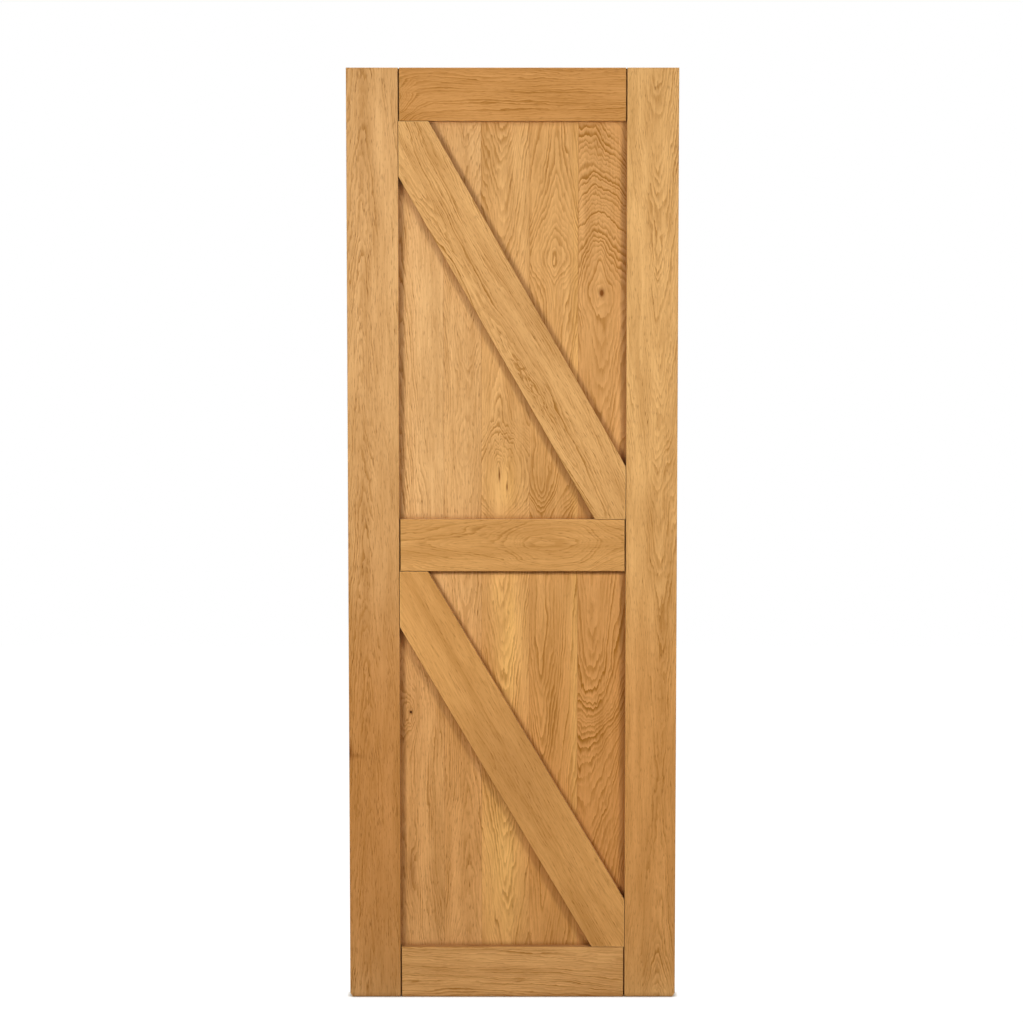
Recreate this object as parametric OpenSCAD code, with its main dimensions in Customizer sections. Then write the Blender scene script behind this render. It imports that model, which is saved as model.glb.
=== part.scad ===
// Oak barn door leaf. A core of upright tongue-and-groove boards carries stiles, rails
// and two diagonal braces that are planted on its front and screwed on from behind.
// Millimetres, +Z up, front towards -Y, origin at the middle of the leaf's bottom edge.

/* [Leaf] */
// Width of the leaf
leaf_w = 720; // [690:1:780]
// Height of the leaf
leaf_h = 2040; // [1900:1:2200]
// Width of the clipped outer corner at the foot of each stile
foot_clip_w = 6; // [2:0.5:12]
// Height of the clipped outer corner at the foot of each stile
foot_clip_h = 9; // [2:0.5:16]

/* [Core boards] */
// Thickness of a core board
board_t = 20; // [18:0.5:28]
// Width that the left edge board covers
left_board_w = 103.5; // [90:0.5:125]
// Width that the right edge board covers
right_board_w = 110.5; // [90:0.5:125]
// Width that the narrow board covers, third from the left
narrow_board_w = 82; // [60:0.5:106]
// Thickness of a tongue
tongue_t = 6; // [4:0.5:7]
// How far a tongue reaches into the next board
tongue_l = 8; // [5:0.5:12]
// Room round a tongue in its groove
tongue_clearance = 0.25; // [0.1:0.05:0.5]
// Size of the eased arris along a board joint
joint_ease = 0.4; // [0.2:0.1:1]

/* [Planted frame] */
// Thickness of the stiles, rails and braces
frame_t = 20; // [16:0.5:28]
// Width of a stile
stile_w = 112; // [95:0.5:130]
// Height of the top rail
top_rail_h = 114; // [90:0.5:140]
// Height of the middle rail
middle_rail_h = 114; // [90:0.5:140]
// Height of the bottom rail
bottom_rail_h = 112; // [90:0.5:140]
// Height of the middle rail's centre line above the floor edge
middle_rail_z = 1005.5; // [900:0.5:1100]
// Width of a brace
brace_w = 116; // [90:0.5:130]
// How far the upper brace sits below its opening's diagonal
upper_brace_drop = 1; // [0:0.5:8]
// How far the lower brace sits below its opening's diagonal
lower_brace_drop = 4.5; // [0:0.5:8]
// Open joint between a rail's end and the stile
rail_gap = 2.5; // [0.5:0.1:5]
// Open joint round a brace's cut ends
brace_gap = 1; // [0.3:0.1:3]
// Size of the eased arrises on the frame and on the leaf's back
ease = 1.2; // [0.5:0.1:3]

/* [Knot hole] */
// Distance of the knot hole from the leaf's left edge
knot_x = 135.5; // [125:0.5:160]
// Height of the knot hole above the floor edge
knot_z = 634; // [500:1:700]
// Width of the knot hole at the surface
knot_d = 5; // [2:0.5:10]
// Depth of the knot hole
knot_depth = 7; // [3:0.5:12]

/* [Screws] */
// Thread diameter of a screw
screw_d = 4.5; // [4:0.1:5]
// Shank diameter of a screw
shank_d = 3.3; // [2.8:0.1:3.8]
// Head diameter of a screw
head_d = 8.8; // [8:0.1:10]
// Depth of the countersunk head below the back face
head_sink = 0.5; // [0.2:0.1:1.5]
// Thickness of the rim of the head
head_rim = 0.4; // [0.2:0.1:0.8]
// Width of one slot of the cross recess
recess_w = 1.3; // [1:0.1:1.6]
// Length of one slot of the cross recess
recess_l = 4.8; // [4:0.1:5.5]
// Depth of the cross recess
recess_depth = 2; // [1:0.1:2.5]
// Length of a screw's point
tip_l = 4; // [3:0.5:6]
// Wood left between a screw's point and the front face
tip_cover = 5; // [3:0.5:8]
// Room round a head or a thread in its hole
screw_clearance = 0.06; // [0.05:0.01:0.2]
// Room round a screw where it passes through a board
shank_clearance = 0.3; // [0.2:0.05:0.6]
// Distance of the end screws from the top and bottom of a stile
screw_end = 60; // [40:1:90]
// Distance between screws along a stile
screw_pitch = 240; // [160:1:320]
// Distance of a screw from the middle line of the piece that it holds
screw_offset = 24; // [12:0.5:30]

/* [Hidden] */
$fn = 48;

// How far cutting shapes reach past the wood
over = 5;

// The leaf's edges, and its front, joint and back planes
left = -leaf_w / 2;
right = leaf_w / 2;
front_y = -(board_t + frame_t) / 2;
joint_y = front_y + frame_t;
back_y = joint_y + board_t;

// The four full boards share the width that the edge boards and the narrow one leave
board_w = (leaf_w - left_board_w - right_board_w - narrow_board_w) / 4;
board_widths = [
    left_board_w, board_w, narrow_board_w, board_w, board_w, board_w, right_board_w
];
board_count = len(board_widths);

// Left edge of each board, ending with the leaf's right edge
function sum_to(list, n) = n == 0 ? 0 : list[n - 1] + sum_to(list, n - 1);
board_edges = [for (i = [0 : board_count]) left + sum_to(board_widths, i)];

// The two openings that the braces cross, as left, right, bottom and top
opening_l = left + stile_w;
opening_r = right - stile_w;
upper_opening = [
    opening_l, opening_r, middle_rail_z + middle_rail_h / 2, leaf_h - top_rail_h
];
lower_opening = [
    opening_l, opening_r, bottom_rail_h, middle_rail_z - middle_rail_h / 2
];

// Direction across a brace, towards its upper right edge
function brace_normal(o) =
    let (rise = o[3] - o[2], run = o[1] - o[0])
    [rise, run] / norm([rise, run]);

// Where a line at a distance from the opening's diagonal crosses an upright or a level
function level_x(o, off, z) =
    let (n = brace_normal(o)) o[0] + (off - (z - o[3]) * n.y) / n.x;
function upright_z(o, off, x) =
    let (n = brace_normal(o)) o[3] + (off - (x - o[0]) * n.x) / n.y;

// Six corners of a brace, cut to fit the opening's top left and bottom right corners
function brace_outline(o, drop) =
    let (
        x0 = o[0] + brace_gap, x1 = o[1] - brace_gap,
        z0 = o[2] + brace_gap, z1 = o[3] - brace_gap,
        low = -brace_w / 2 - drop, high = brace_w / 2 - drop
    )
    [
        [x0, upright_z(o, low, x0)], [level_x(o, low, z0), z0], [x1, z0],
        [x1, upright_z(o, high, x1)], [level_x(o, high, z1), z1], [x0, z1]
    ];

// The braces' long edges are eased, and their cut ends stay sharp
brace_eased = [0, 3];

function rail_outline(z0, z1) =
    let (x0 = opening_l + rail_gap, x1 = opening_r - rail_gap)
    [[x0, z0], [x1, z0], [x1, z1], [x0, z1]];
rail_eased = [0, 1, 2, 3];

left_stile_outline = [
    [left + foot_clip_w, 0], [opening_l, 0], [opening_l, leaf_h],
    [left, leaf_h], [left, foot_clip_h]
];
left_stile_eased = [0, 1, 2, 3];
right_stile_outline = [
    [opening_r, 0], [right - foot_clip_w, 0], [right, foot_clip_h],
    [right, leaf_h], [opening_r, leaf_h]
];
right_stile_eased = [0, 2, 3, 4];

// Screw places as x and z: two to each board behind a rail or brace, staggered up a stile
function inner_middle(i) =
    (max(board_edges[i], opening_l) + min(board_edges[i + 1], opening_r)) / 2;
inner_middles = [for (i = [1 : board_count - 2]) inner_middle(i)];
function rail_screws(z) = [
    for (x = inner_middles, side = [-1, 1]) [x, z + side * screw_offset]
];
function brace_screws(o, drop) = [
    for (x = inner_middles, side = [-1, 1])
        [x, upright_z(o, -drop, x)] + side * screw_offset * brace_normal(o)
];
stile_steps = round((leaf_h - 2 * screw_end) / screw_pitch);
stile_step = (leaf_h - 2 * screw_end) / stile_steps;
function stile_screws(x) = [
    for (i = [0 : stile_steps])
        [x + (i % 2 == 0 ? -1 : 1) * screw_offset, screw_end + i * stile_step]
];

left_stile_screws = stile_screws(left + min(stile_w, left_board_w) / 2);
right_stile_screws = stile_screws(right - min(stile_w, right_board_w) / 2);
top_rail_screws = rail_screws(leaf_h - top_rail_h / 2);
middle_rail_screws = rail_screws(middle_rail_z);
bottom_rail_screws = rail_screws(bottom_rail_h / 2);
upper_brace_screws = brace_screws(upper_opening, upper_brace_drop);
lower_brace_screws = brace_screws(lower_opening, lower_brace_drop);
all_screws = concat(
    left_stile_screws, right_stile_screws, top_rail_screws, middle_rail_screws,
    bottom_rail_screws, upper_brace_screws, lower_brace_screws
);

screw_l = board_t + frame_t - tip_cover - head_sink;
shank_end = board_t - head_sink;
head_h = head_rim + (head_d - shank_d) / 2;

oak = "#d2a066";
pale_oak = "#dcae78";
steel = "#c9c6b8";

// Stands a shape that was drawn in x and z upright, with its thickness towards the front
module upright(y) {
    translate([0, y, 0]) rotate([90, 0, 0]) children();
}

// Sets a shape at a screw's place, running in from the back face
module at_screw(place) {
    translate([place.x, back_y, place.y]) rotate([90, 0, 0]) children();
}

// Wedge that eases the front arris along one edge of an outline
module arris_cut(from, to) {
    run = to - from;
    translate([from.x, from.y, 0])
        rotate([0, 0, atan2(run.y, run.x)])
            translate([-over, 0, 0])
                rotate([90, 0, 90])
                    linear_extrude(height = norm(run) + 2 * over)
                        polygon([
                            [-over, frame_t - ease - over],
                            [ease + over, frame_t + over],
                            [-over, frame_t + over]
                        ]);
}

// Piece of the planted frame: a convex outline, eased along the front of the edges
// that start at the corners named, and drilled from behind for its screws
module planted(outline, eased, places) {
    difference() {
        upright(joint_y) difference() {
            linear_extrude(height = frame_t) polygon(outline);
            for (i = eased)
                arris_cut(outline[i], outline[(i + 1) % len(outline)]);
        }
        for (place = places) at_screw(place) screw_hole();
    }
}

// Section of a board from above, with a groove on its left and a tongue on its right
module board_section(i) {
    x0 = board_edges[i];
    x1 = board_edges[i + 1];
    mid = joint_y + board_t / 2;
    groove = tongue_t / 2 + tongue_clearance;
    groove_x = x0 + tongue_l + tongue_clearance;
    left_side = i == 0
        ? [[x0 + ease, back_y], [x0, back_y - ease], [x0, joint_y]]
        : [
            [x0 + joint_ease, back_y], [x0, back_y - joint_ease],
            [x0, mid + groove], [groove_x, mid + groove],
            [groove_x, mid - groove], [x0, mid - groove],
            [x0, joint_y + joint_ease], [x0 + joint_ease, joint_y]
        ];
    right_side = i == board_count - 1
        ? [[x1, joint_y], [x1, back_y - ease], [x1 - ease, back_y]]
        : [
            [x1 - joint_ease, joint_y], [x1, joint_y + joint_ease],
            [x1, mid - tongue_t / 2], [x1 + tongue_l, mid - tongue_t / 2],
            [x1 + tongue_l, mid + tongue_t / 2], [x1, mid + tongue_t / 2],
            [x1, back_y - joint_ease], [x1 - joint_ease, back_y]
        ];
    polygon(concat(left_side, right_side));
}

// Side view of the core, which eases the back arrises at the top and bottom
module core_side() {
    translate([left - over, 0, 0])
        rotate([90, 0, 90])
            linear_extrude(height = leaf_w + 2 * over)
                polygon([
                    [joint_y, 0], [back_y - ease, 0], [back_y, ease],
                    [back_y, leaf_h - ease], [back_y - ease, leaf_h], [joint_y, leaf_h]
                ]);
}

// Cuts the outer corners at the foot through the core
module foot_cuts() {
    for (side = [-1, 1])
        upright(back_y + over)
            linear_extrude(height = board_t + 2 * over)
                polygon([
                    [side * (right + over), -over], [side * (right - foot_clip_w), -over],
                    [side * (right - foot_clip_w), 0], [side * right, foot_clip_h],
                    [side * (right + over), foot_clip_h]
                ]);
}

// Tapered hole that a fallen knot left in a board's front
module knot_hole() {
    upright(joint_y + knot_depth)
        translate([left + knot_x, knot_z, 0])
            cylinder(d1 = knot_d / 2, d2 = knot_d, h = knot_depth);
}

module board(i) {
    x0 = board_edges[i];
    x1 = board_edges[i + 1] + tongue_l;
    reach = head_d;
    color(i % 2 == 0 ? oak : pale_oak) difference() {
        intersection() {
            linear_extrude(height = leaf_h) board_section(i);
            core_side();
        }
        if (i == 0 || i == board_count - 1) foot_cuts();
        if (x0 < left + knot_x && left + knot_x < board_edges[i + 1]) knot_hole();
        for (place = all_screws)
            if (place.x > x0 - reach && place.x < x1 + reach)
                at_screw(place) screw_hole();
    }
}

// Countersunk wood screw, drawn from its head at zero to its point
module screw() {
    difference() {
        translate([0, 0, head_sink]) rotate_extrude() polygon([
            [0, 0], [head_d / 2, 0], [head_d / 2, head_rim], [shank_d / 2, head_h],
            [shank_d / 2, shank_end], [screw_d / 2, shank_end],
            [screw_d / 2, screw_l - tip_l], [0, screw_l]
        ]);
        for (turn = [0, 90])
            rotate([0, 0, turn])
                translate([-recess_l / 2, -recess_w / 2, head_sink - over])
                    cube([recess_l, recess_w, recess_depth + over]);
    }
}

// Hole for one screw: countersunk and clear in the board, tight in the frame
module screw_hole() {
    head_r = head_d / 2 + screw_clearance;
    clear_r = screw_d / 2 + shank_clearance;
    tight_r = screw_d / 2 + screw_clearance;
    rim = head_sink + head_rim + screw_clearance;
    end = head_sink + screw_l;
    rotate_extrude() polygon([
        [0, -over], [head_r, -over], [head_r, rim], [clear_r, rim + head_r - clear_r],
        [clear_r, board_t], [tight_r, board_t], [tight_r, end - tip_l + screw_clearance],
        [0, end + screw_clearance]
    ]);
}

module left_stile() {
    color(pale_oak) planted(left_stile_outline, left_stile_eased, left_stile_screws);
}

module right_stile() {
    color(pale_oak) planted(right_stile_outline, right_stile_eased, right_stile_screws);
}

module top_rail() {
    color(oak)
        planted(rail_outline(leaf_h - top_rail_h, leaf_h), rail_eased, top_rail_screws);
}

module middle_rail() {
    color(oak) planted(
        rail_outline(
            middle_rail_z - middle_rail_h / 2, middle_rail_z + middle_rail_h / 2
        ),
        rail_eased,
        middle_rail_screws
    );
}

module bottom_rail() {
    color(oak) planted(rail_outline(0, bottom_rail_h), rail_eased, bottom_rail_screws);
}

module upper_brace() {
    color(pale_oak) planted(
        brace_outline(upper_opening, upper_brace_drop), brace_eased, upper_brace_screws
    );
}

module lower_brace() {
    color(oak) planted(
        brace_outline(lower_opening, lower_brace_drop), brace_eased, lower_brace_screws
    );
}

module screws() {
    color(steel) for (place = all_screws) at_screw(place) screw();
}

for (i = [0 : board_count - 1])
    board(i);
left_stile();
right_stile();
top_rail();
middle_rail();
bottom_rail();
upper_brace();
lower_brace();
screws();
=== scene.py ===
"""Dresses a barn door leaf in oiled oak and sets it in a plain studio."""

import math
from dataclasses import dataclass

import bpy
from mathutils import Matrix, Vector


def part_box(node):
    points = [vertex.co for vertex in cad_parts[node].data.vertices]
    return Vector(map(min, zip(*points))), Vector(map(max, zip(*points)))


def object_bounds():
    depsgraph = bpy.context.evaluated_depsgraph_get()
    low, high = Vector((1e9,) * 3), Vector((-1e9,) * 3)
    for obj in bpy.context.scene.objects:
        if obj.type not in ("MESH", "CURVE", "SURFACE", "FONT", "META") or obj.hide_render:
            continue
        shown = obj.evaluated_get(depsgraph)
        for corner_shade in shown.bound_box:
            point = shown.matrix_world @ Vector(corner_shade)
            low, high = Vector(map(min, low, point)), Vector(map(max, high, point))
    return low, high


bl_info = {
    "name": "Barn door looks",
    "version": (1, 0, 0),
    "blender": (4, 5, 0),
    "location": "3D View > Sidebar > Barn Door",
    "description": "Oak, screws and studio for a framed and braced barn door leaf",
    "category": "Object",
}

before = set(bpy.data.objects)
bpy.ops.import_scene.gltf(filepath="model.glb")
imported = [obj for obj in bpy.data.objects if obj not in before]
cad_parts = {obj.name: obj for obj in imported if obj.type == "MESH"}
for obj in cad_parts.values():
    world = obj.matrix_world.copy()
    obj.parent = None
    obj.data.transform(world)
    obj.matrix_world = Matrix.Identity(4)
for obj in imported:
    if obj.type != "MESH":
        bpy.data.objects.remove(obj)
CAD_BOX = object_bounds()
LEAF_LOW, LEAF_HIGH = CAD_BOX
MM = 0.001

BOARDS = ["board_%d" % number for number in range(1, 8)]
STILES = ["left_stile", "right_stile"]
RAILS = ["top_rail", "middle_rail", "bottom_rail"]
BRACES = ["upper_brace", "lower_brace"]


def linear(hex_colour):
    """Turns an sRGB hex colour into linear red, green and blue."""
    channels = []
    for start in (0, 2, 4):
        value = int(hex_colour[start : start + 2], 16) / 255
        channels.append(value / 12.92 if value <= 0.04045 else ((value + 0.055) / 1.055) ** 2.4)
    return tuple(channels)


@dataclass
class Spot:
    """A place where the wood changes, in the piece's own millimetres.

    lift bends the rings round it, curl makes them wavy, clear brings their lines out or, below
    nought, calms them, and pale turns it to sapwood. dark stains it as a knot or a mark, and
    along the leaf's top and foot it is painted shade.
    """

    across: float
    along: float
    half_width: float
    half_length: float
    lift: float = 0.0
    curl: float = 0.0
    clear: float = 0.0
    dark: float = 0.0
    pale: float = 0.0


@dataclass
class Figure:
    """The growth rings that one piece was sawn through, in millimetres.

    heart gives the pith's place across the piece at stations along it, and ahead how far it
    lies in front of the piece's front. growth gives the log's taper at stations along the
    piece: it rises towards the tip of an arch and is lowest in the middle of an eye. tint
    colours the wood as a whole, and the foot shade colour is painted shade that darkens and
    warms an upright towards its foot. bold darkens the ring lines and pores the pores.
    """

    heart: tuple
    ahead: float
    growth: tuple
    spots: tuple = ()
    tint: str = "FFFFFF"
    # Colour of the painted shade towards an upright's foot
    foot_shade: str = "FFF3E6"
    ring: float = 7.0
    bold: float = 0.7
    pores: float = 0.42


# Height in millimetres of the bottom rail's top, along which a thin line is darkened
RAIL_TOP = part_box("bottom_rail")[1].z / MM

# Half size in millimetres of a spot that runs right across or along its piece
WHOLE = 4000

# Share of the painted shade that darkens and warms an upright, at heights in millimetres: most at 430 mm
# up, none at the very foot or from 1400 mm up
FOOT_SHADE = ((0, 0.0), (430, 1.0), (1000, 0.25), (1400, 0.0), (2040, 0.0))

# First seed of the boards' and the frame's noises, and the step from piece to piece
BOARD_SEED = 11
FRAME_SEED = 111
SEED_STEP = 10

# Shift of a noise's place for each step of its seed
SEED_SHIFT = Vector((7.31, 3.17, 5.53))

# Bends of the rings: size across, into and along the piece, and depth, in millimetres
WANDER_SIZE = (60, 60, 360)
WANDER_DEPTH = 36.0
ROLL_SIZE = (28, 28, 130)
ROLL_DEPTH = 18.0
RIPPLE_SIZE = (13, 13, 45)
RIPPLE_DEPTH = 8.0
RAGGED_SIZE = (4, 4, 22)
RAGGED_DEPTH = 4.0

# Rings counted in front of a piece, so that the count stays above nought
RINGS_BEFORE = 200.0

# Darkness of a ring by share of its width, from its spring start to the next one
RING_PROFILE = ((0.0, 0.5), (0.08, 1.0), (0.3, 0.85), (0.55, 0.35), (0.8, 0.04), (0.93, 0.0), (1.0, 0.3))

# Size of the stretches where ring lines fade, in millimetres
FADE_SIZE = (22, 22, 140)

# Streaks of tone: size across, into and along the piece in millimetres, and share of the tone
FIBRE_SIZE = (3.0, 3.0, 50)
FIBRE_SHARE = 0.6
BROAD_SIZE = (26, 26, 600)
BROAD_SHARE = 0.7
PATCH_SIZE = (34, 34, 220)
PATCH_SHARE = 0.7

# Share of ring brown in the darkest streaks
TONE_DEPTH = 0.42

# Depth in metres of the open pores
PORE_DEPTH = 0.0002

# Width in metres of the painted shade line in a corner
CORNER_SHADE_REACH = 0.012

# Width in metres of the pale line along an arris, partly wear from handling and partly painted highlight
ARRIS_REACH = 0.002

# Width in metres of the painted contact shadow where the leaf stands on the floor
CONTACT_SHADOW_REACH = 0.012

# Rays that measure how open a place is
OPENNESS_RAYS = 8

# Patches and fine marks of the zinc plating to a metre, about 3 mm and 0.3 mm across
ZINC_PATCHES = 330.0
ZINC_MARKS = 3300.0

# Depth in metres of the marks in the plating
MARK_DEPTH = 0.00005

# Softboxes before, behind and over the leaf: place in metres and share of the power
SOFTBOXES = {
    "left softbox": ((-1.55, -2.07, 1.88), 1.05),
    "right softbox": ((1.55, -2.07, 1.88), 0.95),
    "rear left softbox": ((-1.55, 2.07, 1.88), 0.95),
    "rear right softbox": ((1.55, 2.07, 1.88), 1.05),
    "overhead softbox": ((0, 0, 3.6), 0.45),
}

# Point that the softboxes face, near the leaf's middle
SOFTBOX_TARGET = (0, 0, 1.1)

# Sheen panel: its place and the point that it faces
SHEEN_PLACE = (0, -5.2, 1.6)
SHEEN_TARGET = (0, 0, 1.6)

# Camera: place in metres, tilt down in degrees and width of its sensor in millimetres
CAMERA_PLACE = (-0.0023, -5.0, 1.427)
CAMERA_TILT = 3.99
CAMERA_SENSOR = 36

# Floor: half its side in metres, the share of white that the eye sees in it and its strength
FLOOR_HALF = 6.0
FLOOR_WHITE_SHARE = 0.85
FLOOR_WHITE = 1.2

# Even light from the white ground
GROUND_LIGHT = 0.02

# Uprights are measured from the leaf's bottom left corner
# Rails are measured up from its foot and along from its right edge, braces from their middle
FIGURES = {
    "board_1": Figure(
        heart=((0, 60), (2040, 45)),
        ahead=12,
        growth=((0, 0), (900, 120), (2040, 280)),
    ),
    "board_2": Figure(
        heart=((0, 118), (634, 118), (1100, 110), (1500, 112), (2040, 114)),
        ahead=10,
        growth=((0, 0), (500, 45), (634, 40), (800, 60), (1300, 110), (2040, 190)),
        spots=(
            Spot(135.5, 634, 20, 46, lift=-22, curl=1.5, clear=0.8),
            Spot(135.5, 634, 4, 5, dark=0.9),
            Spot(128, 660, 34, 120, dark=0.16),
            Spot(190, 1300, 36, 900, clear=-0.5),
            Spot(127, 616, 1.8, 2.2, dark=0.8),
            Spot(137, 280, 9, 48, lift=10, curl=2.0, clear=0.6, dark=0.4),
        ),
        ring=5.5,
        bold=0.8,
        pores=0.75,
    ),
    "board_3": Figure(
        heart=((0, 266), (273, 266), (900, 262), (1223, 257), (1417, 262), (2040, 262)),
        ahead=10,
        growth=(
            (0, -50),
            (273, 0),
            (700, 30),
            (1000, 16),
            (1150, 9),
            (1223, 0),
            (1330, 9),
            (1417, -4),
            (1700, -60),
            (2040, -130),
        ),
        tint="FFFDFA",
        ring=5.5,
        bold=0.6,
        pores=0.65,
    ),
    "board_4": Figure(
        heart=((0, 350), (600, 346), (1157, 332), (1500, 333), (1832, 334), (2040, 334)),
        ahead=10,
        growth=(
            (0, 210),
            (500, 130),
            (880, 70),
            (1060, 36),
            (1157, 0),
            (1290, 50),
            (1440, 62),
            (1600, 40),
            (1758, 8),
            (1832, -6),
            (2040, -44),
        ),
        spots=(
            Spot(334, 1230, 40, 60, curl=3.5, clear=0.5),
            Spot(331, 1150, 17, 42, lift=-8),
            Spot(340, 1130, 30, 64, clear=-0.8, pale=0.9),
            Spot(331, 1158, 1.8, 14, dark=1.1),
            Spot(348, 1132, 1.8, 10, dark=1.0),
            Spot(330, 900, 14, 60, pale=0.9),
            Spot(360, 820, 24, 130, pale=1.5),
            Spot(350, 720, 26, 100, pale=1.2),
            Spot(335, 300, 44, 220, pale=1.2),
        ),
        tint="FCF7EC",
        ring=6.0,
        bold=0.75,
    ),
    "board_5": Figure(
        heart=((0, 425), (636, 423), (792, 420), (1090, 420), (1400, 440), (1631, 454), (2040, 452)),
        ahead=3,
        growth=(
            (0, 190),
            (400, 150),
            (636, 115),
            (792, 94),
            (1050, 86),
            (1150, 44),
            (1300, 40),
            (1535, 32),
            (1610, 6),
            (1631, 0),
            (1655, 6),
            (1767, 48),
            (1900, 68),
            (2040, 80),
        ),
        spots=(
            Spot(498, 1000, 9, 1100, pale=0.55),
            Spot(454, 1631, 36, 130, clear=0.8),
            Spot(425, 760, 50, 260, clear=0.2),
            Spot(420, 1095, 40, 60, clear=0.6),
        ),
        tint="F8F0E0",
        bold=0.85,
    ),
    "board_6": Figure(
        heart=(
            (0, 524),
            (410, 524),
            (548, 529),
            (740, 534),
            (889, 535),
            (1100, 545),
            (1556, 554),
            (1680, 551),
            (1780, 543),
            (1925, 528),
            (2040, 524),
        ),
        ahead=20,
        growth=(
            (0, 330),
            (410, 235),
            (495, 214),
            (548, 199),
            (725, 114),
            (889, 92),
            (1050, 80),
            (1300, 40),
            (1500, 12),
            (1556, 0),
            (1586, 8),
            (1650, 32),
            (1700, 62),
            (1790, 124),
            (1925, 194),
            (2040, 246),
        ),
        spots=(
            Spot(554.5, 1556, 9, 14, lift=-5, clear=-0.8),
            Spot(550, 1400, 70, 110, clear=-0.35),
            Spot(554.5, 1556, 5, 8, dark=1.5),
            Spot(545, 1800, 60, 170, curl=1.4, clear=0.5),
            Spot(530, 1890, 20, 120, lift=8),
            Spot(554, 1610, 10, 50, lift=-10),
            Spot(530, 640, 60, 120, curl=1.2, clear=0.5),
        ),
        tint="F3E8D8",
        bold=0.95,
    ),
    "board_7": Figure(
        heart=((0, 670), (2040, 650)),
        ahead=14,
        growth=((0, 180), (1100, 0), (2040, 220)),
    ),
    "left_stile": Figure(
        heart=((0, 40), (461, 45), (882, 36), (1400, 32), (2040, 34)),
        ahead=10,
        growth=((0, 0), (461, 30), (882, 64), (1400, 110), (2040, 170)),
        spots=(
            Spot(39, 882, 16, 40, lift=8, curl=1.5),
            Spot(51, 461, 16, 46, lift=8, curl=1.5),
            Spot(0, 548, 8, 20, dark=1.0),
            Spot(14, 540, 20, 5, dark=0.35),
            Spot(86, 1000, 32, WHOLE, clear=-0.6),
            # Painted shade along the stile's foot and top
            Spot(52, 0, WHOLE, 2, dark=0.7),
            Spot(52, 2040, WHOLE, 3, dark=0.2),
        ),
        tint="F5F3FA",
        foot_shade="EEDAC3",
        ring=5.0,
        bold=0.9,
        pores=0.8,
    ),
    "right_stile": Figure(
        heart=((0, 676), (700, 684), (1400, 680), (2040, 676)),
        ahead=12,
        growth=((0, 0), (400, 50), (900, 30), (1400, -40), (2040, -120)),
        spots=(
            Spot(634, 1000, 30, WHOLE, clear=-0.5),
            # Painted shade along the stile's foot and top
            Spot(664, 0, WHOLE, 2, dark=0.7),
            Spot(664, 2040, WHOLE, 3, dark=0.2),
        ),
        foot_shade="F1E0D0",
        ring=5.0,
        bold=0.85,
        pores=0.75,
    ),
    "top_rail": Figure(
        heart=((0, 2075), (420, 2070), (720, 2060)),
        ahead=16,
        growth=((0, 0), (720, 20)),
        spots=(
            Spot(1955, 620, 60, 42, lift=-50, clear=0.4),
            # Painted shade along the top of the leaf
            Spot(2040, 360, 3, WHOLE, dark=0.2),
        ),
        tint="E6D5C3",
        ring=5.0,
        bold=0.85,
    ),
    "middle_rail": Figure(
        heart=((0, 1008), (351, 1012), (720, 1008)),
        ahead=10,
        growth=((0, 90), (150, 44), (283, 0), (390, 30), (720, 70)),
        spots=(Spot(989, 300, 40, 120, clear=0.3),),
        tint="F3E9DC",
        ring=5.0,
        bold=0.5,
    ),
    "bottom_rail": Figure(
        heart=((0, 180), (720, 190)),
        ahead=30,
        growth=((0, 0), (720, 24)),
        spots=(
            # A thin darkened line along the rail's top edge
            Spot(RAIL_TOP, 360, 0.8, WHOLE, dark=0.35),
            # Painted shade along the rail's foot
            Spot(0, 360, 2, WHOLE, dark=0.5),
        ),
        tint="FFFAFA",
        ring=5.0,
        bold=0.9,
    ),
    "upper_brace": Figure(
        heart=((-520, -38), (-117, -36), (296, -36), (520, -30)),
        ahead=8,
        growth=((-520, 34), (-117, 0), (120, 10), (296, 0), (520, -20)),
        spots=(
            Spot(-37, -117, 22, 90, curl=2.5),
            Spot(24, 0, 24, 600, clear=-0.3),
            Spot(0, 0, 80, 150, dark=0.1),
        ),
        tint="FBF8F7",
        ring=5.5,
        bold=0.95,
        pores=0.75,
    ),
    "lower_brace": Figure(
        heart=((-520, 80), (520, 95)),
        ahead=40,
        growth=((-520, 0), (520, 30)),
        spots=(Spot(0, 0, 80, 160, dark=0.2),),
        tint="F8ECDD",
        ring=6.0,
        bold=0.3,
    ),
}


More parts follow.
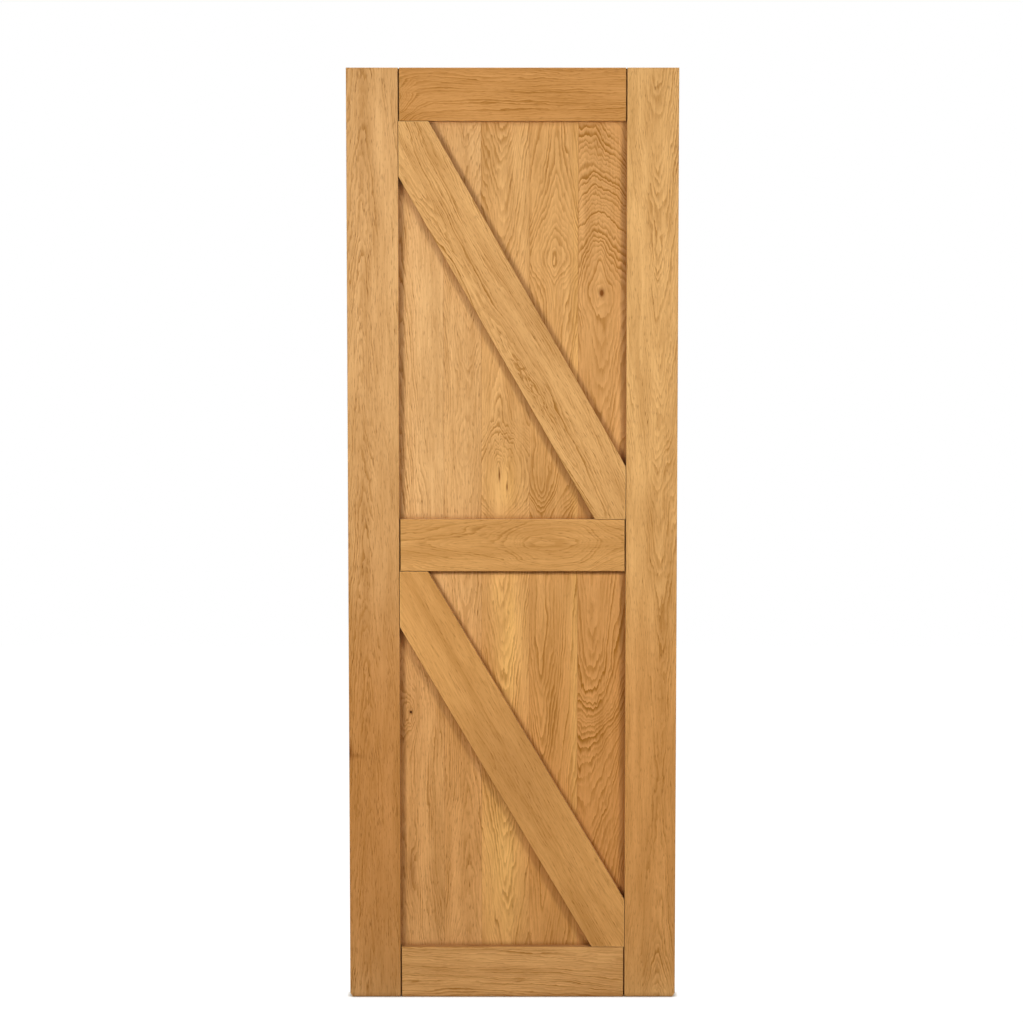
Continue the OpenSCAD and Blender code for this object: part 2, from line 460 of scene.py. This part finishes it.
class OakLook(bpy.types.PropertyGroup):
    """Colours and grain sizes of the oak."""

    board_wood: bpy.props.FloatVectorProperty(
        name="Board oak",
        description="Pale summer wood of the core boards",
        subtype="COLOR",
        min=0,
        max=1,
        default=linear("DEB077"),
    )
    frame_wood: bpy.props.FloatVectorProperty(
        name="Frame oak",
        description="Pale summer wood of the stiles, rails and braces",
        subtype="COLOR",
        min=0,
        max=1,
        default=linear("DDAE70"),
    )
    ring_line: bpy.props.FloatVectorProperty(
        name="Ring line",
        description="Brown of the spring wood that starts each ring",
        subtype="COLOR",
        min=0,
        max=1,
        default=linear("8E5A16"),
    )
    pore: bpy.props.FloatVectorProperty(
        name="Pores",
        description="Dark oil caught in the open pores",
        subtype="COLOR",
        min=0,
        max=1,
        default=linear("6E4210"),
    )
    # Also the colour of the painted highlight along the frame's arrises
    sapwood_and_highlight: bpy.props.FloatVectorProperty(
        name="Sapwood",
        description="Pale yellow outer wood of the log",
        subtype="COLOR",
        min=0,
        max=1,
        default=linear("F4BF74"),
    )
    # Also the colour of the painted shade along the leaf's top and foot
    knot_and_rim_shade: bpy.props.FloatVectorProperty(
        name="Knots",
        description="Dark wood inside a knot",
        subtype="COLOR",
        min=0,
        max=1,
        default=linear("74400F"),
    )
    # Painted shade: the colour that darkens corners and gaps where pieces meet
    corner_shade: bpy.props.FloatVectorProperty(
        name="Corners",
        description="Dark oil and dust in corners and gaps",
        subtype="COLOR",
        min=0,
        max=1,
        default=linear("6E3205"),
    )
    pore_length: bpy.props.FloatProperty(
        name="Pore length",
        description="Length of a pore's dash along the grain",
        unit="LENGTH",
        min=0.002,
        default=0.016,
    )
    pore_width: bpy.props.FloatProperty(
        name="Pore width",
        description="Width of a pore's dash across the grain",
        unit="LENGTH",
        min=0.0002,
        default=0.0018,
    )


class StudioLook(bpy.types.PropertyGroup):
    """Lamps, floor and camera of the studio."""

    lamp_power: bpy.props.FloatProperty(
        name="Softbox power",
        description="Power of a softbox whose share is 1",
        unit="POWER",
        min=0,
        default=43.3,
    )
    lamp_side: bpy.props.FloatProperty(
        name="Softbox side",
        description="Width and height of each softbox",
        unit="LENGTH",
        min=0.05,
        default=0.7,
    )
    sheen_power: bpy.props.FloatProperty(
        name="Sheen panel power",
        description="Power of the panel behind the camera that gives the oil its sheen",
        unit="POWER",
        min=0,
        default=11,
    )
    sheen_side: bpy.props.FloatProperty(
        name="Sheen panel side",
        description="Width and height of the sheen panel",
        unit="LENGTH",
        min=0.05,
        default=1.3,
    )
    floor_colour: bpy.props.FloatVectorProperty(
        name="Floor",
        description="Colour of the plain floor",
        subtype="COLOR",
        min=0,
        max=1,
        default=linear("C8BBA4"),
    )
    focal_length: bpy.props.FloatProperty(
        name="Focal length",
        description="Camera's focal length on a 36 mm wide sensor",
        unit="CAMERA",
        min=1,
        default=80.33,
    )


def add(tree, kind, inputs=(), stops=(), **settings):
    """Adds a node with its settings, fills or links its inputs and returns its outputs.

    inputs is a list in socket order, or a dict by socket name or number. stops are the points
    of a float curve or the grey levels of a colour ramp, by position.
    """
    node = tree.nodes.new(kind)
    for name, value in settings.items():
        setattr(node, name, value)
    for place, value in inputs.items() if isinstance(inputs, dict) else enumerate(inputs):
        if isinstance(value, bpy.types.NodeSocket):
            tree.links.new(value, node.inputs[place])
        else:
            node.inputs[place].default_value = value
    if stops and kind == "ShaderNodeFloatCurve":
        points = node.mapping.curves[0].points
        points[0].location = stops[0]
        points[1].location = stops[-1]
        for stop in stops[1:-1]:
            points.new(*stop)
        node.mapping.update()
    elif stops:
        elements = node.color_ramp.elements
        while len(elements) < len(stops):
            elements.new(1.0)
        for element, (position, level) in zip(elements, stops):
            element.position = position
            element.color = (level, level, level, 1)
    return node.outputs


def along_piece(tree, along, stations):
    """Returns a value that runs smoothly through stations of (millimetres along, value)."""
    first, last = stations[0][0], stations[-1][0]
    values = [value for place, value in stations]
    low, high = min(values), max(values)
    span = max(high - low, 1e-6)
    stops = [((place - first) / (last - first), (value - low) / span) for place, value in stations]
    part = add(tree, "ShaderNodeMapRange", {"Value": along, "From Min": first, "From Max": last})[0]
    curve = add(tree, "ShaderNodeFloatCurve", {"Value": part}, stops=stops)[0]
    return add(tree, "ShaderNodeMath", [curve, span, low], operation="MULTIPLY_ADD")[0]


def streaks(tree, place, seed, size, detail=2.0):
    """Returns noise about 0.5, drawn out to lumps of the given size in millimetres."""
    spread = add(
        tree,
        "ShaderNodeVectorMath",
        [place, [1 / length for length in size], SEED_SHIFT * seed],
        operation="MULTIPLY_ADD",
    )[0]
    return add(tree, "ShaderNodeTexNoise", {"Vector": spread, "Scale": 1.0, "Detail": detail})[0]


def bell(tree, place, spot):
    """Returns a bell of height 1 over a spot, which runs through the piece's thickness."""
    width, length = spot.half_width, spot.half_length
    offset = add(
        tree,
        "ShaderNodeVectorMath",
        [place, (1 / width, 0, 1 / length), (-spot.across / width, 0, -spot.along / length)],
        operation="MULTIPLY_ADD",
    )[0]
    square = add(tree, "ShaderNodeVectorMath", [offset, offset], operation="DOT_PRODUCT")["Value"]
    return add(tree, "ShaderNodeMath", [math.exp(-1), square], operation="POWER")[0]


def piece_place(tree, node):
    """Returns the place in millimetres across, in from the front and along a piece."""
    low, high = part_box(node)
    origin = Vector((LEAF_LOW.x, low.y, LEAF_LOW.z))
    turn = 0.0
    if node in RAILS:
        origin = Vector((LEAF_HIGH.x, low.y, LEAF_LOW.z))
        turn = -math.pi / 2
    elif node in BRACES:
        origin = Vector(((low.x + high.x) / 2, low.y, (low.z + high.z) / 2))
        turn = -math.atan2(high.x - low.x, high.z - low.z)
    coordinates = add(tree, "ShaderNodeTexCoord")["Object"]
    return add(
        tree,
        "ShaderNodeMapping",
        {"Vector": coordinates, "Location": origin, "Rotation": (0, turn, 0), "Scale": (MM, MM, MM)},
        vector_type="TEXTURE",
    )[0]


def heart_distance(tree, figure, place, bells, seed):
    """Returns each point's distance from the log's heart, in millimetres, with its bends.

    bells pairs each spot of the figure with its bell.
    """
    across, into, along = add(tree, "ShaderNodeSeparateXYZ", [place])
    wander = streaks(tree, place, seed, WANDER_SIZE, detail=1.0)
    bent = add(
        tree, "ShaderNodeMath", [wander, WANDER_DEPTH, -WANDER_DEPTH / 2], operation="MULTIPLY_ADD"
    )[0]
    heart = along_piece(tree, along, figure.heart)
    side = add(tree, "ShaderNodeMath", [across, heart], operation="SUBTRACT")[0]
    side = add(tree, "ShaderNodeMath", [side, bent], operation="ADD")[0]
    back = add(tree, "ShaderNodeMath", [into, figure.ahead], operation="ADD")[0]
    back_square = add(tree, "ShaderNodeMath", [back, back], operation="MULTIPLY")[0]
    square = add(tree, "ShaderNodeMath", [side, side, back_square], operation="MULTIPLY_ADD")[0]
    distance = add(tree, "ShaderNodeMath", [square], operation="SQRT")[0]
    growth = along_piece(tree, along, figure.growth)
    distance = add(tree, "ShaderNodeMath", [distance, growth], operation="ADD")[0]
    roll = streaks(tree, place, seed + 7, ROLL_SIZE)
    distance = add(tree, "ShaderNodeMath", [roll, ROLL_DEPTH, distance], operation="MULTIPLY_ADD")[0]
    ripple = streaks(tree, place, seed + 1, RIPPLE_SIZE)
    ripple = add(tree, "ShaderNodeMath", [ripple, 0.5], operation="SUBTRACT")[0]
    curl = RIPPLE_DEPTH
    for spot, swell in bells:
        if spot.lift:
            distance = add(
                tree, "ShaderNodeMath", [swell, spot.lift, distance], operation="MULTIPLY_ADD"
            )[0]
        if spot.curl:
            depth = spot.curl * RIPPLE_DEPTH
            curl = add(tree, "ShaderNodeMath", [swell, depth, curl], operation="MULTIPLY_ADD")[0]
    distance = add(tree, "ShaderNodeMath", [ripple, curl, distance], operation="MULTIPLY_ADD")[0]
    ragged = streaks(tree, place, seed + 6, RAGGED_SIZE)
    return add(tree, "ShaderNodeMath", [ragged, RAGGED_DEPTH, distance], operation="MULTIPLY_ADD")[0]


def ring_lines(tree, figure, place, bells, seed):
    """Returns the ring lines: uneven widths, a dark start to each, some stronger than others."""
    distance = heart_distance(tree, figure, place, bells, seed)
    years = add(
        tree,
        "ShaderNodeMath",
        [distance, 1 / figure.ring, RINGS_BEFORE + seed],
        operation="MULTIPLY_ADD",
    )[0]
    uneven = add(
        tree,
        "ShaderNodeTexNoise",
        {"W": years, "Scale": 0.23, "Detail": 1.0},
        noise_dimensions="1D",
    )[0]
    years = add(tree, "ShaderNodeMath", [uneven, 1.3, years], operation="MULTIPLY_ADD")[0]
    phase = add(tree, "ShaderNodeMath", [years], operation="FRACT")[0]
    year = add(tree, "ShaderNodeMath", [years], operation="FLOOR")[0]
    start = add(tree, "ShaderNodeValToRGB", [phase], stops=RING_PROFILE)[0]
    strength = add(tree, "ShaderNodeTexWhiteNoise", {"W": year}, noise_dimensions="1D")["Value"]
    strength = add(tree, "ShaderNodeMapRange", {"Value": strength, "To Min": 0.25})[0]
    fade = streaks(tree, place, seed + 2, FADE_SIZE, detail=3.0)
    fade = add(
        tree, "ShaderNodeMapRange", {"Value": fade, "From Min": 0.32, "From Max": 0.62, "To Min": 0.2}
    )[0]
    for spot, swell in bells:
        if spot.clear:
            fade = add(
                tree,
                "ShaderNodeMath",
                [swell, spot.clear, fade],
                operation="MULTIPLY_ADD",
                use_clamp=True,
            )[0]
    line = add(tree, "ShaderNodeMath", [start, strength], operation="MULTIPLY")[0]
    return add(tree, "ShaderNodeMath", [line, fade], operation="MULTIPLY")[0]


def pore_dashes(tree, look, place, seed, line):
    """Returns the pores as dashes along the grain, more of them on a dark ring line."""
    # Real pores are 0.3 mm wide, drawn wider so that they show at the size of a door
    size = (look.pore_width / MM, look.pore_width / MM, look.pore_length / MM)
    dashes = streaks(tree, place, seed + 3, size, detail=1.0)
    dashes = add(
        tree,
        "ShaderNodeMapRange",
        {"Value": dashes, "From Min": 0.56, "From Max": 0.74},
        interpolation_type="SMOOTHSTEP",
    )[0]
    crowd = add(tree, "ShaderNodeMapRange", {"Value": line, "From Max": 0.6, "To Min": 0.45})[0]
    return add(tree, "ShaderNodeMath", [dashes, crowd], operation="MULTIPLY")[0]


def rubbed_and_highlit_arrises(tree, fibre):
    """Returns how far the arrises are painted pale, partly as wear from handling and partly as a painted
    highlight, more on some fibres than others.
    """
    edge = add(
        tree,
        "ShaderNodeAmbientOcclusion",
        {"Distance": ARRIS_REACH},
        samples=OPENNESS_RAYS,
        inside=True,
        only_local=True,
    )["AO"]
    wear_and_highlight = add(
        tree,
        "ShaderNodeMapRange",
        {"Value": edge, "From Min": 0.45, "From Max": 0.95, "To Min": 1.2, "To Max": 0.0},
    )[0]
    return add(tree, "ShaderNodeMath", [wear_and_highlight, fibre], operation="MULTIPLY")[0]


def painted_corner_shade(tree):
    """Returns painted shade: how far the corners and gaps where one piece stands on another are darkened,
    by how closed in they are.
    """
    openness = add(
        tree, "ShaderNodeAmbientOcclusion", {"Distance": CORNER_SHADE_REACH}, samples=OPENNESS_RAYS
    )["AO"]
    return add(
        tree,
        "ShaderNodeMapRange",
        {"Value": openness, "From Max": 0.97, "To Min": 0.85, "To Max": 0.0},
    )[0]


def oak(node, seed, look, wood):
    """Planed oak under satin oil.

    To the eye: pale summer wood with brown ring lines that arch where the saw ran flat to the
    rings and run straight where it ran across them, open pores as short dashes along the
    grain, broad streaks of tone, and a soft sheen that the pores break up. Corners and gaps
    where pieces meet are darkened with painted shade, and the frame's arrises are painted pale,
    partly as wear from handling and partly as a painted highlight. Each noise takes a seed of
    its own, the piece's seed plus 0 to 8.
    """
    figure = FIGURES[node]
    material = bpy.data.materials.new("planed oak, " + node)
    material.use_nodes = True
    tree = material.node_tree
    tree.nodes.clear()
    place = piece_place(tree, node)
    bells = [(spot, bell(tree, place, spot)) for spot in figure.spots]
    line = ring_lines(tree, figure, place, bells, seed)
    pores = pore_dashes(tree, look, place, seed, line)

    # Tone: broad streaks and patches along the grain, and finer fibre within them
    broad = streaks(tree, place, seed + 4, BROAD_SIZE, detail=4.0)
    fibre = streaks(tree, place, seed + 5, FIBRE_SIZE, detail=3.0)
    patch = streaks(tree, place, seed + 8, PATCH_SIZE)
    tone = add(tree, "ShaderNodeMath", [fibre, FIBRE_SHARE], operation="MULTIPLY")[0]
    tone = add(tree, "ShaderNodeMath", [broad, BROAD_SHARE, tone], operation="MULTIPLY_ADD")[0]
    tone = add(tree, "ShaderNodeMath", [patch, PATCH_SHARE, tone], operation="MULTIPLY_ADD")[0]
    tone = add(tree, "ShaderNodeMapRange", {"Value": tone, "From Min": 0.77, "From Max": 1.23})[0]

    # Wood colour, with the piece's own tint and, on the uprights, painted shade that darkens and warms
    # them towards the foot
    tints_and_foot_shade = [(1.0, figure.tint)]
    if node in BOARDS + STILES:
        height = add(tree, "ShaderNodeSeparateXYZ", [place])["Z"]
        tints_and_foot_shade.append((along_piece(tree, height, FOOT_SHADE), figure.foot_shade))
    colour = (*wood, 1)
    for amount, tint in tints_and_foot_shade:
        colour = add(
            tree,
            "ShaderNodeMix",
            {0: amount, 6: colour, 7: (*linear(tint), 1)},
            data_type="RGBA",
            blend_type="MULTIPLY",
        )[2]

    # Layers over the wood colour, from the first laid to the last: how much and of what
    layers = []
    for spot, swell in bells:
        if spot.pale:
            grown = add(
                tree,
                "ShaderNodeMapRange",
                {"Value": broad, "From Min": 0.35, "From Max": 0.6, "To Min": 0.4},
            )[0]
            sap = add(tree, "ShaderNodeMath", [swell, spot.pale], operation="MULTIPLY")[0]
            sap = add(tree, "ShaderNodeMath", [sap, grown], operation="MULTIPLY", use_clamp=True)[0]
            layers.append((sap, look.sapwood_and_highlight))
    shade = add(tree, "ShaderNodeMath", [tone, TONE_DEPTH], operation="MULTIPLY")[0]
    layers.append((shade, look.ring_line))
    ink = add(tree, "ShaderNodeMath", [line, figure.bold], operation="MULTIPLY", use_clamp=True)[0]
    layers.append((ink, look.ring_line))
    ink = add(tree, "ShaderNodeMath", [pores, figure.pores], operation="MULTIPLY")[0]
    layers.append((ink, look.pore))
    # Dark spots: knots and marks, and painted shade along the leaf's top and foot
    for spot, swell in bells:
        if spot.dark:
            ink = add(
                tree, "ShaderNodeMath", [swell, spot.dark], operation="MULTIPLY", use_clamp=True
            )[0]
            layers.append((ink, look.knot_and_rim_shade))
    # Pale arrises on the frame: partly wear, partly painted highlight
    if node not in BOARDS:
        layers.append((rubbed_and_highlit_arrises(tree, fibre), look.sapwood_and_highlight))
    # Painted shade in the corners and gaps where pieces meet
    layers.append((painted_corner_shade(tree), look.corner_shade))
    for amount, pigment in layers:
        colour = add(
            tree, "ShaderNodeMix", {0: amount, 6: colour, 7: (*pigment, 1)}, data_type="RGBA"
        )[2]

    # Surface: oil fills the summer wood, so the pores and ring starts stay rougher and lower
    rough = add(tree, "ShaderNodeMapRange", {"Value": pores, "To Min": 0.3, "To Max": 0.5})[0]
    rough = add(tree, "ShaderNodeMath", [fibre, 0.08, rough], operation="MULTIPLY_ADD")[0]
    sunk = add(tree, "ShaderNodeMath", [line, 0.35, pores], operation="MULTIPLY_ADD")[0]
    relief = add(tree, "ShaderNodeMath", [1.0, sunk], operation="SUBTRACT")[0]
    bump = add(
        tree, "ShaderNodeBump", {"Strength": 0.5, "Distance": PORE_DEPTH, "Height": relief}
    )[0]
    shader = add(
        tree,
        "ShaderNodeBsdfPrincipled",
        {"Base Color": colour, "Roughness": rough, "IOR": 1.47, "Specular IOR Level": 0.1, "Normal": bump},
    )[0]
    add(tree, "ShaderNodeOutputMaterial", [shader])
    return material


def zinc_plated_steel():
    """Zinc-plated wood screws.

    To the eye: a soft grey metal with faint yellow patches and a fine grain in the plating.
    """
    material = bpy.data.materials.new("zinc plated steel")
    material.use_nodes = True
    tree = material.node_tree
    tree.nodes.clear()
    coordinates = add(tree, "ShaderNodeTexCoord")["Object"]
    patches = add(
        tree, "ShaderNodeTexNoise", {"Vector": coordinates, "Scale": ZINC_PATCHES, "Detail": 3.0}
    )[0]
    colour = add(
        tree,
        "ShaderNodeMix",
        {0: patches, 6: (*linear("8F8B82"), 1), 7: (*linear("A69D84"), 1)},
        data_type="RGBA",
    )[2]
    rough = add(tree, "ShaderNodeMapRange", {"Value": patches, "To Min": 0.5, "To Max": 0.7})[0]
    marks = add(tree, "ShaderNodeTexNoise", {"Vector": coordinates, "Scale": ZINC_MARKS})[0]
    bump = add(tree, "ShaderNodeBump", {"Strength": 0.3, "Distance": MARK_DEPTH, "Height": marks})[0]
    shader = add(
        tree,
        "ShaderNodeBsdfPrincipled",
        {"Base Color": colour, "Metallic": 1.0, "Roughness": rough, "Normal": bump},
    )[0]
    add(tree, "ShaderNodeOutputMaterial", [shader])
    return material


def dress(node, material):
    """Puts one material on a piece."""
    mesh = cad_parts[node].data
    mesh.materials.clear()
    mesh.materials.append(material)


class DOOR_OT_boards(bpy.types.Operator):
    """Gives each core board its own oak figure"""

    bl_idname = "door.boards"
    bl_label = "Core boards"

    def execute(self, context):
        look = context.scene.oak_look
        for number, node in enumerate(BOARDS):
            dress(node, oak(node, BOARD_SEED + SEED_STEP * number, look, look.board_wood))
        return {"FINISHED"}


class DOOR_OT_frame(bpy.types.Operator):
    """Gives each stile, rail and brace its own oak figure"""

    bl_idname = "door.frame"
    bl_label = "Stiles, rails and braces"

    def execute(self, context):
        look = context.scene.oak_look
        for number, node in enumerate(STILES + RAILS + BRACES):
            dress(node, oak(node, FRAME_SEED + SEED_STEP * number, look, look.frame_wood))
        return {"FINISHED"}


class DOOR_OT_screws(bpy.types.Operator):
    """Gives the screws in the back their zinc plating"""

    bl_idname = "door.screws"
    bl_label = "Screws"

    def execute(self, context):
        dress("screws", zinc_plated_steel())
        return {"FINISHED"}


def seen_rays(tree):
    """Returns 1 for rays that show the background: camera, glossy and transmission rays."""
    light_path = add(tree, "ShaderNodeLightPath")
    seen = add(
        tree,
        "ShaderNodeMath",
        [light_path["Is Camera Ray"], light_path["Is Glossy Ray"]],
        operation="MAXIMUM",
    )[0]
    return add(
        tree, "ShaderNodeMath", [seen, light_path["Is Transmission Ray"]], operation="MAXIMUM"
    )[0]


class DOOR_OT_stage(bpy.types.Operator):
    """Adds the floor, the white ground, the softboxes and the camera"""

    bl_idname = "door.stage"
    bl_label = "Studio"

    def execute(self, context):
        studio = context.scene.studio_look
        self.lay_floor(context, studio)
        self.light_ground(context)
        for name, (place, share) in SOFTBOXES.items():
            power = studio.lamp_power * share
            self.hang_lamp(context, name, place, SOFTBOX_TARGET, studio.lamp_side, power)
        self.hang_lamp(
            context, "sheen panel", SHEEN_PLACE, SHEEN_TARGET, studio.sheen_side, studio.sheen_power
        )
        self.place_camera(context, studio)
        context.scene.view_settings.view_transform = "Standard"
        return {"FINISHED"}

    def hang_lamp(self, context, name, place, target, side, power):
        """A square lamp of the given side and power that faces a point."""
        light = bpy.data.lights.new(name, "AREA")
        light.shape = "SQUARE"
        light.size = side
        light.energy = power
        lamp = bpy.data.objects.new(name, light)
        lamp.location = place
        lamp.rotation_euler = (Vector(target) - lamp.location).to_track_quat("-Z", "Y").to_euler()
        context.scene.collection.objects.link(lamp)

    def lay_floor(self, context, studio):
        """A plain pale floor that looks white and keeps a faint shadow."""
        low, high = -FLOOR_HALF, FLOOR_HALF
        mesh = bpy.data.meshes.new("floor")
        corners = [(low, low, 0), (high, low, 0), (high, high, 0), (low, high, 0)]
        mesh.from_pydata(corners, [], [(0, 1, 2, 3)])
        floor = bpy.data.objects.new("floor", mesh)
        context.scene.collection.objects.link(floor)
        material = bpy.data.materials.new("matt painted floor")
        material.use_nodes = True
        tree = material.node_tree
        tree.nodes.clear()
        # Painted contact shadow: where the leaf stands on it the floor loses its white
        contact_shadow = add(
            tree, "ShaderNodeAmbientOcclusion", {"Distance": CONTACT_SHADOW_REACH}, samples=OPENNESS_RAYS
        )["AO"]
        contact_shadow = add(tree, "ShaderNodeMapRange", {"Value": contact_shadow, "From Min": 0.4})[0]
        share = add(tree, "ShaderNodeMath", [seen_rays(tree), FLOOR_WHITE_SHARE], operation="MULTIPLY")[0]
        share = add(tree, "ShaderNodeMath", [share, contact_shadow], operation="MULTIPLY")[0]
        paint = add(tree, "ShaderNodeBsdfDiffuse", [(*studio.floor_colour, 1)])[0]
        white = add(tree, "ShaderNodeEmission", {"Color": (1, 1, 1, 1), "Strength": FLOOR_WHITE})[0]
        shader = add(tree, "ShaderNodeMixShader", [share, paint, white])[0]
        add(tree, "ShaderNodeOutputMaterial", [shader])
        mesh.materials.append(material)

    def light_ground(self, context):
        """A white ground for the eye and a little even light for everything else."""
        world = bpy.data.worlds.new("white ground")
        world.use_nodes = True
        tree = world.node_tree
        tree.nodes.clear()
        strength = add(tree, "ShaderNodeMapRange", {"Value": seen_rays(tree), "To Min": GROUND_LIGHT})[0]
        light = add(tree, "ShaderNodeBackground", {"Color": (1, 1, 1, 1), "Strength": strength})[0]
        add(tree, "ShaderNodeOutputWorld", [light])
        context.scene.world = world

    def place_camera(self, context, studio):
        """A camera a little above the leaf's middle, five metres off and looking slightly down."""
        lens = bpy.data.cameras.new("camera")
        lens.sensor_width = CAMERA_SENSOR
        lens.lens = studio.focal_length
        camera = bpy.data.objects.new("camera", lens)
        camera.location = CAMERA_PLACE
        camera.rotation_euler = (math.radians(90 - CAMERA_TILT), 0, 0)
        context.scene.collection.objects.link(camera)
        context.scene.camera = camera


class DOOR_PT_looks(bpy.types.Panel):
    """Lists the steps that dress the door"""

    bl_idname = "DOOR_PT_looks"
    bl_label = "Barn door"
    bl_space_type = "VIEW_3D"
    bl_region_type = "UI"
    bl_category = "Barn Door"

    def draw(self, context):
        column = self.layout.column()
        for look in (context.scene.oak_look, context.scene.studio_look):
            for name in look.__annotations__:
                column.prop(look, name)
        for step in STEPS:
            column.operator(step.bl_idname)


STEPS = (DOOR_OT_boards, DOOR_OT_frame, DOOR_OT_screws, DOOR_OT_stage)
CLASSES = (OakLook, StudioLook, *STEPS, DOOR_PT_looks)


def register():
    """Adds the classes and the scene's settings."""
    for each in CLASSES:
        bpy.utils.register_class(each)
    bpy.types.Scene.oak_look = bpy.props.PointerProperty(type=OakLook)
    bpy.types.Scene.studio_look = bpy.props.PointerProperty(type=StudioLook)


def unregister():
    """Takes the settings and the classes away."""
    del bpy.types.Scene.studio_look
    del bpy.types.Scene.oak_look
    for each in reversed(CLASSES):
        bpy.utils.unregister_class(each)


def main():
    """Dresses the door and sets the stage."""
    register()
    bpy.ops.door.boards()
    bpy.ops.door.frame()
    bpy.ops.door.screws()
    bpy.ops.door.stage()


if __name__ == "__main__":
    main()
